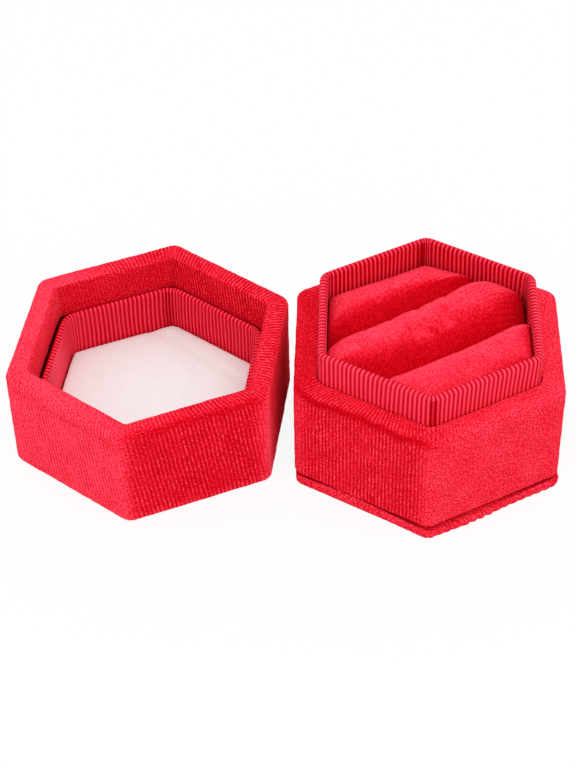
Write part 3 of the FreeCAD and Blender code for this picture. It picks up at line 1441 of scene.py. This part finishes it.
@dataclass
class RibbedRibbon(Sheet):
    """Ribbed ribbon folded over the top edge of a hexagonal board."""

    outer: Outline
    board_thickness: float
    top: float
    outer_drop: float
    inner_drop: float
    ribs: int
    skews: Sequence[Skew] = ()
    rib_marks: Sequence[RibMark] = ()
    # fold_shade paints shade over the fold's outer half; the inner face's deeper, wider grooves are painted
    # shade
    fold_shade: float = 0.0
    depth: float = 0.8
    inner_shade_depth: float = 0.8
    crest_until: float = 0.02
    groove_from: float = 0.76
    inner_shade_from: float = 0.52
    waver: float = 0.2
    waver_along: float = 8.0 * MM
    waver_up: float = 7.0 * MM
    thickness: float = 0.5 * MM
    edge_rounding: float = 0.7 * MM
    rib_depth: float = 0.06 * MM
    edge_depth_lost: float = 0.6
    upright_fade: Limits = (0.2, 0.6)
    edge_fade: Limits = (0.3, 0.9)
    spacing: float = 1.2 * MM
    steps_per_rib: int = 6
    behind: float = 0.05 * MM

    @property
    def inner(self) -> Outline:
        """The outline of the ribbon's inner face."""
        return self.outer.inset(2 * self.thickness + self.board_thickness)

    @property
    def profile(self) -> list[Turn]:
        """The closed profile, from the foot of the outer leg over the edge and back behind."""
        skin = self.thickness - self.behind
        outside, inside = self.outer.apothem, self.inner.apothem
        return [
            Turn(outside - skin, self.top - self.outer_drop),
            Turn(outside, self.top - self.outer_drop),
            Turn(outside, self.top, self.edge_rounding),
            Turn(inside, self.top, self.edge_rounding),
            Turn(inside, self.top - self.inner_drop),
            Turn(inside + skin, self.top - self.inner_drop),
            Turn(inside + skin, self.top - skin),
            Turn(outside - skin, self.top - skin),
        ]

    @property
    def width(self) -> float:
        """The width of the ribbon."""
        saved = (2 - math.pi / 2) * 2 * self.edge_rounding
        return self.outer_drop + 2 * self.thickness + self.board_thickness + self.inner_drop - saved

    def phase(self, spot: Spot) -> float:
        """Count the ribs up to a spot, with their waver and their skews.

        Args:
            spot: where the ribbon lies.

        Returns:
            The number of ribs.
        """
        share = (spot.point.z - self.top + self.outer_drop) / self.outer_drop
        place = Vector((spot.around / self.waver_along, spot.along / self.waver_up, 0))
        skewed = sum(skew.ribs * share * skew.share(spot.point) for skew in self.skews)
        return spot.around / self.outer.side * self.ribs / SIDES + self.waver * noise.noise(place) + skewed

    def groove_and_shade(self, spot: Spot) -> float:
        """Find how deep between the ribs a spot lies, adding painted shade over the fold's outer half, deeper
        and wider painted shade on the inner face, and the marks of pinched seams and of painted light.

        Args:
            spot: where the ribbon lies.

        Returns:
            The depth, from 0 on the crest of a rib to 1.
        """
        upright = 1 - eased(spot.normal.z, *self.upright_fade)
        dark = upright * sum(mark.shade * mark.share(spot.point) for mark in self.rib_marks)
        middle = (self.outer.apothem + self.inner.apothem) / 2
        reach = side_reach(spot.point)
        # painted shade over the outer half of the fold
        dark += self.fold_shade * eased(reach, middle, middle + self.thickness)
        # deeper, wider painted shade in the grooves of the inner face, which sinks the ribs a little more
        within = eased(middle - reach, 0.0, self.thickness)
        depth = between(self.depth, self.inner_shade_depth, within)
        groove_from = between(self.groove_from, self.inner_shade_from, within)
        rib = eased(0.5 - 0.5 * math.cos(math.tau * self.phase(spot)), self.crest_until, groove_from)
        return min(1.0, max(0.0, depth * rib + dark))

    def lift(self, spot: Spot) -> float:
        """Find how far the ribbon sinks at a spot.

        Args:
            spot: where the ribbon lies.

        Returns:
            The depth, in metres and below 0.
        """
        if spot.along > self.thickness + self.width:
            return 0.0
        kept = 1 - self.edge_depth_lost * eased(spot.normal.z, *self.edge_fade)
        return -self.rib_depth * self.groove_and_shade(spot) * kept

    def build(self, material: Material) -> None:
        """Build and dress the ribbon.

        Args:
            material: the ribbon's finish.
        """
        strip = Strip(self.profile, self.outer, self.inner, self.spacing, self.ribs, self.steps_per_rib)
        shape = strip.build()
        painted(shape, GROOVE_AND_SHADE, self.groove_and_shade)
        lifted(shape, self.lift)
        piece = self.show(shape, material, "_ribs", Slot.RIBBON)
        length = SIDES * self.outer.inset(self.thickness).side


@dataclass
class VelvetPanel(Sheet):
    """A flat piece of velvet with a cut edge."""

    outline: Outline
    bottom: float
    top: float
    fray: float
    edges: Sequence[CutEdge] = ()
    spacing: float = 0.4 * MM
    row_pitch: float = 0.82 * MM
    tuft_pitch: float = 1.9 * MM
    tuft_waver: float = 0.6 * MM
    tuft_waver_size: float = 2.4 * MM
    rim_from: float = 0.8 * MM
    rim_full: float = 0.1 * MM
    rag_size: float = 0.7 * MM
    fibre_size: float = 0.3 * MM
    fibre_share: float = 0.7
    hang_size: float = 1.3 * MM
    middle_nap: float = 0.5
    rim_gain: float = 0.14
    middle_rows: float = 0.5
    fuzz: Fuzz = Fuzz()

    def rim(self, point: Vector) -> float:
        """Return 1 at the panel's edge, fading to 0 a little way in."""
        apothem = self.outline.apothem
        return eased(side_reach(point), apothem - self.rim_from, apothem - self.rim_full)

    def tuft(self, point: Vector) -> float:
        """Find how far a tuft of the edge stands out, in tufts of uneven width.

        Args:
            point: a point of the panel.

        Returns:
            The share, from 0 to 1.
        """
        side = math.floor(math.atan2(point.y, point.x) / SIDE_TURN) + 0.5
        flat = level(point)
        run = flat.dot(heading(side * SIDE_TURN + math.pi / 2))
        run += self.tuft_waver * noise.noise(flat / self.tuft_waver_size)
        return abs(math.sin(math.pi * run / self.tuft_pitch))

    def hung(self, spot: Spot) -> Vector:
        """Fray the panel's edge and let it hang.

        Args:
            spot: a spot of the flat panel.

        Returns:
            Where it lies then.
        """
        point = spot.point
        rim = self.rim(point)
        if rim == 0:
            return point
        edges = [(edge, edge.share(point)) for edge in self.edges]
        rise = sum(edge.rise * share for edge, share in edges)
        fray = self.fray + sum((edge.fray - self.fray) * share for edge, share in edges)
        out = sum(edge.out * share for edge, share in edges)
        out += sum(edge.tufts * share for edge, share in edges) * self.tuft(point)
        up = (point.z - self.bottom) / (self.top - self.bottom)
        ragged = noise.noise(point / self.rag_size) + self.fibre_share * noise.noise(point / self.fibre_size)
        moved = point + level(spot.normal) * rim * (out + fray * ragged)
        moved.z += rim * (rise * up + fray * noise.noise(level(point) / self.hang_size))
        moved.z = max(moved.z, self.bottom)
        return moved

    def sheen_tone(self, spot: Spot) -> float:
        """Return the pile's tone at a spot: lighter towards the cut edge, and unevenly brushed."""
        return self.middle_nap + self.rim_gain * self.rim(spot.point) + self.fuzz.brushed(spot.point)

    def wale(self, spot: Spot) -> float:
        """Return how plainly the rows of pile show at a spot."""
        return self.middle_rows * (1 - self.rim(spot.point))

    def build(self, material: Material) -> None:
        """Build and dress the panel.

        Args:
            material: the velvet's finish.
        """
        shape = hexagon_panel(self.outline, self.bottom, self.top, self.spacing, self.row_pitch)
        painted(shape, SHEEN_TONE, self.sheen_tone)
        painted(shape, WALE, self.wale)
        for vert, spot in zip(shape.verts, spots(shape)):
            vert.co = self.hung(spot)
        piece = self.show(shape, material, "_pile", Slot.WALL_VELVET)


@dataclass
class Base:
    """The lower half's own velvet: its wall and its underside."""

    outer: Outline = Outline(26.0 * MM, 2.6 * MM)
    mouth: Outline = Outline(21.5 * MM, 3.1 * MM)
    underside: Outline = Outline(25.8 * MM, 2.4 * MM)
    wall_bottom: float = 2.8 * MM
    height: float = 25.0 * MM
    underside_top: float = 1.6 * MM
    fray: float = 0.15 * MM
    rows: int = 228
    # painted sheen: the sides facing 325 degrees are painted light, the others dark
    brush: Brush = Brush(325, 210, shaded_tone=0.46, lit_tone=0.67, rows_fade=(0.55, 0.95))
    pile_bands: Sequence[PileBand] = (
        PileBand(210, 24.7 * MM, 0.9 * MM, 0.45, wobble=1.4 * MM),
        # painted shade over the top of the left ledge; the pile is not pressed there
        PileBand(150, 27.0 * MM, 2.8 * MM, 0.16, sink=0.0, wobble=0.0))
    cut_edges: Sequence[CutEdge] = (
        CutEdge(205, 28, rise=1.15 * MM, fray=0.04 * MM),
        CutEdge(258, 20, rise=-0.3 * MM, fray=0.14 * MM, out=0.5 * MM, tufts=0.45 * MM),
        CutEdge(298, 16, rise=0.4 * MM, fray=0.14 * MM, out=0.1 * MM, tufts=0.4 * MM))

    def build(self, velvet: Material) -> None:
        """Build and dress the wall and the underside.

        Args:
            velvet: the finish of both.
        """
        WallVelvet(
            "base_wall_velvet", "base_wall_board", Body.BASE, self.outer, self.mouth, self.wall_bottom,
            self.height, self.brush, self.brush, mouth_rounding=0.4 * MM, foot_rounding=0.6 * MM,
            rows=self.rows, shows_inside=False, pile_bands=self.pile_bands).build(velvet)
        VelvetPanel(
            "base_bottom_velvet", "base_bottom_card", Body.BASE, self.underside, 0.0, self.underside_top,
            self.fray, self.cut_edges).build(velvet)


@dataclass
class Collar:
    """The ribbon round the collar that stands out of the base."""

    outer: Outline = Outline(21.4 * MM, 3.0 * MM)
    board: float = 0.6 * MM
    top: float = 31.5 * MM
    drop: float = 9.5 * MM
    ribs: int = 154
    # deeper painted shade in the grooves of the inner face
    inner_shade_depth: float = 0.94
    skews: Sequence[Skew] = (Skew(298, 22, ribs=-0.6),)
    rib_marks: Sequence[RibMark] = (RibMark(62, 1.6, shade=0.8), RibMark(241, 1.8, shade=0.55))

    def build(self, ribbon: Material) -> None:
        """Build and dress the ribbon.

        Args:
            ribbon: its finish.
        """
        RibbedRibbon(
            "collar_ribbon", "collar_board", Body.BASE, self.outer, self.board, self.top, self.drop,
            self.drop, self.ribs, self.skews, self.rib_marks, inner_shade_depth=self.inner_shade_depth).build(ribbon)


@dataclass(frozen=True)
class RollForm:
    """How one roll is shaped: its reach across the box, its crown, and how its slopes and its ends fall."""

    name: str
    low: float
    high: float
    crown: float
    left_drop: float
    right_drop: float
    end_slope: float
    front_slope: float = 0.0
    rear_slope: float = 0.0
    right_rise: float = 0.0
    rise_from: float = 0.0
    slope_kept: float = 1.0
    low_bow: float = 0.0
    high_bow: float = 0.0
    bow_run: Limits = (-16 * MM, 16 * MM)
    drop_run: Limits = (-10 * MM, 10 * MM)
    kept_run: Limits = (2 * MM, 14 * MM)
    rise_length: float = 14 * MM

    def limits(self, x: float) -> tuple[float, float]:
        """Return the foremost and rearmost place, of which a bowed one swings back towards the right."""
        share = eased(x, *self.bow_run)
        return self.low + self.low_bow * share, self.high + self.high_bow * share

    def drop(self, x: float) -> float:
        """Return how far the roll falls at the walls of the collar."""
        return between(self.left_drop, self.right_drop, eased(x, *self.drop_run))

    def rise(self, x: float) -> float:
        """Return how far the crown rises towards the right."""
        return self.right_rise * eased(x, self.rise_from, self.rise_from + self.rise_length)

    def slopes(self, point: Vector) -> tuple[tuple[float, float], tuple[float, float]]:
        """Return how far a point is from the front and the rear slot, each with the width of its slope."""
        kept = between(1.0, self.slope_kept, eased(point.x, *self.kept_run))
        return (point.y - self.low, kept * self.front_slope), (self.high - point.y, self.rear_slope)


@dataclass
class RingCushion:
    """The three velvet rolls that hold rings between them."""

    outline: Outline = Outline(19.6 * MM, 3.9 * MM)
    floor: float = 7.0 * MM
    slot_drop: float = 9.0 * MM
    block_spacing: float = 2.0 * MM
    rolls: Sequence[RollForm] = (
        RollForm(
            "front", -19.62 * MM, -7.45 * MM, 29.3 * MM, left_drop=1.5 * MM, right_drop=2.2 * MM,
            end_slope=4.5 * MM, rear_slope=2.6 * MM, right_rise=1.2 * MM),
        RollForm(
            "middle", -7.35 * MM, 7.15 * MM, 29.3 * MM, left_drop=3.0 * MM, right_drop=6.6 * MM,
            end_slope=7.0 * MM, front_slope=8.0 * MM, rear_slope=3.6 * MM, right_rise=0.6 * MM,
            high_bow=1.4 * MM),
        RollForm(
            "rear", 7.3 * MM, 19.62 * MM, 28.4 * MM, left_drop=4.3 * MM, right_drop=6.3 * MM,
            end_slope=6.5 * MM, front_slope=6.0 * MM, right_rise=1.6 * MM, rise_from=9.0 * MM,
            slope_kept=0.3, low_bow=1.4 * MM))
    stuffing: Stuffing = Stuffing(cap=0.5 * MM, held_below=16.0 * MM)
    fill: float = 0.8
    # painted light: faces turned towards this direction are painted lit, the forward slopes painted shaded
    light_from: Vector = field(default_factory=lambda: Vector((0.05, 0.62, 0.78)).normalized())
    shaded_tone: float = 0.15
    lit_gain: float = 0.71
    least_rows: float = 0.04
    row_gain: float = 0.32
    rows_slant: float = 0.35
    rows_run: Limits = (9 * MM, 14 * MM)
    lit_fade: Limits = (0.12, 0.97)
    fuzz: Fuzz = Fuzz(fine=0.03 * MM, coarse=0.04 * MM, broad_tone=0.05, patch_tone=0.04)

    def moulded(self, point: Vector, roll: RollForm) -> Vector:
        """Give a roll its rounded back.

        Args:
            point: a point of the plain block.
            roll: how the roll is shaped.

        Returns:
            Where the point lies in the roll.
        """
        off_walls = self.outline.apothem - side_reach(point)
        wall = roll.drop(point.x) * (1 - rounded(off_walls / roll.end_slope))
        slot = max(self.slot_drop * (1 - rounded(off / slope)) if slope else 0.0
                   for off, slope in roll.slopes(point))
        top = roll.crown + roll.rise(point.x) - wall - slot
        share = (point.z - self.floor) / (roll.crown - self.floor)
        near, far = roll.limits(point.x)
        y = near + (point.y - roll.low) / (roll.high - roll.low) * (far - near)
        return Vector((point.x, y, self.floor + share * (top - self.floor)))

    def settle(self, shape: Form, roll: RollForm) -> None:
        """Press a roll against the card, the collar and its neighbours.

        Args:
            shape: the filled roll.
            roll: how it is shaped.
        """
        for vert in shape.verts:
            near, far = roll.limits(vert.co.x)
            vert.co.y = min(max(vert.co.y, near), far)
            vert.co.z = max(vert.co.z, self.floor)
        self.outline.hold(shape)
        shape.normal_update()

    def sheen_tone(self, spot: Spot) -> float:
        """Return the pile's tone at a spot: painted light where the roll faces up and back, painted shade on
        its forward slopes, and uneven brushing.
        """
        lit = eased(spot.normal.dot(self.light_from), *self.lit_fade)
        return self.shaded_tone + self.lit_gain * lit + self.fuzz.brushed(spot.point)

    def wale(self, spot: Spot) -> float:
        """Return how plainly the rows show, which is only at the right ends."""
        place = spot.point.x + self.rows_slant * spot.point.y
        return self.least_rows + self.row_gain * eased(place, *self.rows_run)

    def build_roll(self, roll: RollForm, velvet: Material) -> None:
        """Fill, settle and dress one roll.

        Args:
            roll: how it is shaped.
            velvet: its finish.
        """
        block = hexagon_panel(self.outline, self.floor, roll.crown, self.block_spacing, MM)
        cut_across(block, roll.low, roll.high)
        shape = self.stuffing.fill(block, lambda point: self.moulded(point, roll))
        self.settle(shape, roll)
        painted(shape, SHEEN_TONE, self.sheen_tone)
        painted(shape, WALE, self.wale)
        lifted(shape, lambda spot: self.fuzz.lift(spot.point))
        solids = ["roll_velvet_" + roll.name, "roll_foam_" + roll.name]
        role = Role("roll_" + roll.name, Body.CUSHION, Slot.CUSHION_VELVET, solids)
        role.show(shape, velvet)

    def build(self, velvet: Material) -> None:
        """Build the three rolls."""
        for roll in self.rolls:
            self.build_roll(roll, velvet)


@dataclass
class Lid:
    """The upper half's own velvet: its wall and its outer top."""

    outer: Outline = Outline(26.0 * MM, 2.6 * MM)
    mouth: Outline = Outline(21.75 * MM, 1.1 * MM)
    height: float = 23.0 * MM
    top_panel: Outline = Outline(19.9 * MM, 0.4 * MM)
    top_thickness: float = 1.0 * MM
    fray: float = 0.06 * MM
    rows: int = 210
    row_lean: float = 0.14
    # painted sheen: the sides facing 231 degrees are painted light, the front-right dark and those turned
    # fully away lighter again; inside, those facing 60 degrees light
    outside: Brush = Brush(
        231, 350, shaded_tone=0.38, lit_tone=0.83, away_sheen=0.3, least_rows=0.85, most_rows=0.9)
    within: Brush = Brush(60, 255, shaded_tone=0.42, lit_tone=0.72, least_rows=0.35)
    pile_bands: Sequence[PileBand] = (
        PileBand(270, 20.5 * MM, 0.5 * MM, 0.16, wobble=1.0 * MM),
        PileBand(330, 23.0 * MM, 1.0 * MM, 0.22, wobble=0.8 * MM),
        # a band painted lighter along the foot of the front-right side; the pile is not raised
        PileBand(330, 1.2 * MM, 1.0 * MM, -0.22, sink=0.0),
        # painted light over the right side, against the shade that the base casts on it
        PileBand(30, 10.0 * MM, 10.0 * MM, -0.4, sink=0.0, wobble=0.0),
        PileBand(210, 16.5 * MM, 2.5 * MM, 0.05, sink=0.1 * MM, inside=True),
        *(PileBand(bearing, 15.0 * MM, 1.2 * MM, 0.1, sink=-0.35 * MM, wobble=0.0, inside=True)
          for bearing in (30, 90, 150, 270, 330)))

    def build(self, velvet: Material) -> None:
        """Build and dress the wall and the outer top.

        Args:
            velvet: the finish of both.
        """
        WallVelvet(
            "lid_wall_velvet", "lid_wall_board", Body.LID, self.outer, self.mouth, 0.0, self.height,
            self.outside, self.within, mouth_rounding=0.9 * MM, foot_rounding=1.2 * MM, rows=self.rows,
            shows_inside=True, lean=self.row_lean, pile_bands=self.pile_bands, edge_light_gain=0.28, edge_rows=0.88,
        ).build(velvet)
        VelvetPanel(
            "lid_top_velvet", "lid_top_board", Body.LID, self.top_panel, 0.0, self.top_thickness, self.fray,
        ).build(velvet)


@dataclass
class LidFrame:
    """The ribbon round the frame inside the lid."""

    outer: Outline = Outline(21.2 * MM, 5.2 * MM)
    board: float = 0.5 * MM
    top: float = 16.1 * MM
    fold: float = 3.0 * MM
    drop: float = 11.1 * MM
    ribs: int = 152
    # painted shade over the outer half of the fold
    fold_shade: float = 0.8
    # the left side is painted light and plain; the other mark is a pinched seam
    rib_marks: Sequence[RibMark] = (RibMark(210, 22, shade=-0.7), RibMark(122, 2.5, shade=0.35))

    def build(self, ribbon: Material) -> None:
        """Build and dress the ribbon.

        Args:
            ribbon: its finish.
        """
        RibbedRibbon(
            "lid_frame_ribbon", "lid_frame_board", Body.LID, self.outer, self.board, self.top, self.fold,
            self.drop, self.ribs, rib_marks=self.rib_marks, fold_shade=self.fold_shade).build(ribbon)


@dataclass
class LidLining:
    """The white pad on the ceiling of the lid, with a rounded edge and one soft crease."""

    outline: Outline = Outline(19.6 * MM, 3.5 * MM)
    floor: float = 4.2 * MM
    top: float = 7.0 * MM
    swell: float = 0.1 * MM
    block_spacing: float = 2.0 * MM
    edge_drop: float = 0.5 * MM
    edge_slope: float = 1.5 * MM
    crease_at: float = 14.6 * MM
    crease_depth: float = 0.2 * MM
    crease_width: float = 1.2 * MM
    crease_sway: float = 0.6 * MM
    crease_sway_length: float = 5.0 * MM
    stuffing: Stuffing = Stuffing(cap=0.15 * MM, held_below=5.2 * MM, spare_cloth=0.01)
    fill: float = 0.4

    def moulded(self, point: Vector) -> Vector:
        """Give the pad its rounded edge and its crease.

        Args:
            point: a point of the plain block.

        Returns:
            Where it lies in the pad.
        """
        off_edge = self.outline.apothem - side_reach(point)
        sunk = self.edge_drop * (1 - rounded(off_edge / self.edge_slope))
        across = point.y + self.crease_sway * math.sin(point.x / self.crease_sway_length)
        sunk += self.crease_depth * bump_at(across, self.crease_at, self.crease_width)
        share = (point.z - self.floor) / (self.top - self.floor)
        return point - Vector((0, 0, share * sunk))

    def build(self, satin: Material) -> None:
        """Fill, settle and dress the pad.

        Args:
            satin: its finish.
        """
        block = hexagon_panel(self.outline, self.floor, self.top, self.block_spacing, MM)
        shape = self.stuffing.fill(block, self.moulded)
        for vert in shape.verts:
            vert.co.z = min(max(vert.co.z, self.floor), self.top + self.swell)
        self.outline.hold(shape)
        role = Role("lid_lining_pad", Body.LID, Slot.SATIN, ["lid_lining_satin", "lid_lining_wadding"])
        role.show(shape, satin)


@dataclass
class HiddenBoards:
    """The boards and cards under the cloth, which keep their solids."""

    grey: BoardFinish = BoardFinish("grey_board", ground=srgb(168, 163, 154), speck=srgb(120, 114, 104))
    red: BoardFinish = BoardFinish("red_paper", ground=srgb(150, 8, 22), speck=srgb(110, 3, 12))
    white: BoardFinish = BoardFinish("white_card", ground=srgb(236, 233, 228), speck=srgb(205, 200, 192))

    def dress(self) -> None:
        """Give each board its finish."""
        boards = {
            self.grey: ("base_wall_board", "base_floor_board", "cushion_card", "lid_top_board"),
            self.red: ("collar_board", "lid_wall_board", "lid_frame_board", "base_bottom_card"),
            self.white: ("lid_lining_card",),
        }
        for finish, nodes in boards.items():
            material = finish.material()
            for node in nodes:
                mesh = frame["nodes"][node].data
                mesh.materials.clear()
                mesh.materials.append(material)
                LOG.info("%s: %s", node, material.name)


@dataclass
class Studio:
    """The white ground, the soft light and the camera."""

    camera_at: Vector = field(default_factory=lambda: Vector((-151.926, -234.095, 270.137)) * MM)
    looks_at: Vector = field(default_factory=lambda: Vector((-23.556, 14.563, 12.0)) * MM)
    camera_roll: float = math.radians(-1.321)
    lens: float = 88.609
    world_light: float = 0.97
    lamp_power: float = 0.9
    lamp_size: float = 0.5
    lamp_off: Vector = field(default_factory=lambda: Vector((-0.1, -0.25, 0.55)))
    floor_reach: float = 1.5
    floor_tone: float = 0.9
    floor_glow: float = 0.9

    def build(self) -> None:
        """Build the floor, the world, the lamp and the camera."""
        self.floor()
        self.world()
        self.lamp()
        self.camera()

    def floor(self) -> None:
        """Lay a white floor that keeps the box's shadow."""
        shape = bmesh.new()
        bmesh.ops.create_grid(shape, x_segments=4, y_segments=4, size=self.floor_reach)
        floor = put("white_floor", mesh_from(shape, "white_floor"))
        material, shader, surface = new_material("white_floor")
        surface.inputs["Base Color"].default_value = (self.floor_tone,) * 3 + (1.0,)
        surface.inputs["Roughness"].default_value = 1.0
        surface.inputs["Specular IOR Level"].default_value = 0.0
        seen = shader.node("LightPath").outputs["Is Camera Ray"]
        glow = shader.node("Emission")
        glow.inputs["Strength"].default_value = 1.0
        blend = shader.node("MixShader")
        joined = (shader.maths("MULTIPLY", seen, self.floor_glow), surface.outputs[0], glow.outputs[0])
        for socket, value in zip(blend.inputs, joined):
            shader.feed(socket, value)
        shader.feed(material.node_tree.nodes["Material Output"].inputs["Surface"], blend.outputs[0])
        floor.data.materials.append(material)

    def world(self) -> None:
        """Light the box from a white sky, which the camera sees as plain white."""
        world = bpy.data.worlds.new("white_sky")
        world.use_nodes = True
        bpy.context.scene.world = world
        shader = Shader(world.node_tree)
        sky = world.node_tree.nodes["Background"]
        sky.inputs["Color"].default_value = (1, 1, 1, 1)
        path = shader.node("LightPath")
        seen = shader.maths("ADD", path.outputs["Is Camera Ray"], path.outputs["Is Glossy Ray"])
        seen = shader.maths("ADD", seen, path.outputs["Is Transmission Ray"], clamp=True)
        shader.feed(sky.inputs["Strength"], shader.scaled(seen, 1.0 - self.world_light, self.world_light))

    def lamp(self) -> None:
        """Hang one soft lamp high on the side of the camera."""
        data = bpy.data.lights.new("soft_lamp", "AREA")
        data.shape = "DISK"
        data.size = self.lamp_size
        data.energy = self.lamp_power
        lamp = put("soft_lamp", data)
        lamp.location = self.looks_at + self.lamp_off
        lamp.rotation_euler = (self.looks_at - lamp.location).to_track_quat("-Z", "Y").to_euler()

    def camera(self) -> None:
        """Set the camera where the photograph was taken from."""
        data = bpy.data.cameras.new("camera")
        data.lens = self.lens
        camera = put("camera", data)
        look = (self.looks_at - self.camera_at).to_track_quat("-Z", "Y").to_matrix()
        rolled = (look @ Matrix.Rotation(self.camera_roll, 3, "Z")).to_4x4()
        camera.matrix_world = Matrix.Translation(self.camera_at) @ rolled
        bpy.context.scene.camera = camera


def main() -> None:
    """Build the box piece by piece, then the studio round it."""
    logging.basicConfig(level=logging.INFO, format="%(message)s")
    bpy.context.scene.view_settings.view_transform = "Standard"
    wall = VelvetFinish("wall_velvet").material()
    plush = VelvetFinish("cushion_velvet", uses_uv=False, fuzz_contrast=0.55).material()
    ribbon = RibbonFinish().material()
    Base().build(wall)
    Collar().build(ribbon)
    RingCushion().build(plush)
    Lid().build(wall)
    LidFrame().build(ribbon)
    LidLining().build(SatinFinish().material())
    HiddenBoards().dress()
    Studio().build()


if __name__ == "__main__":
    main()
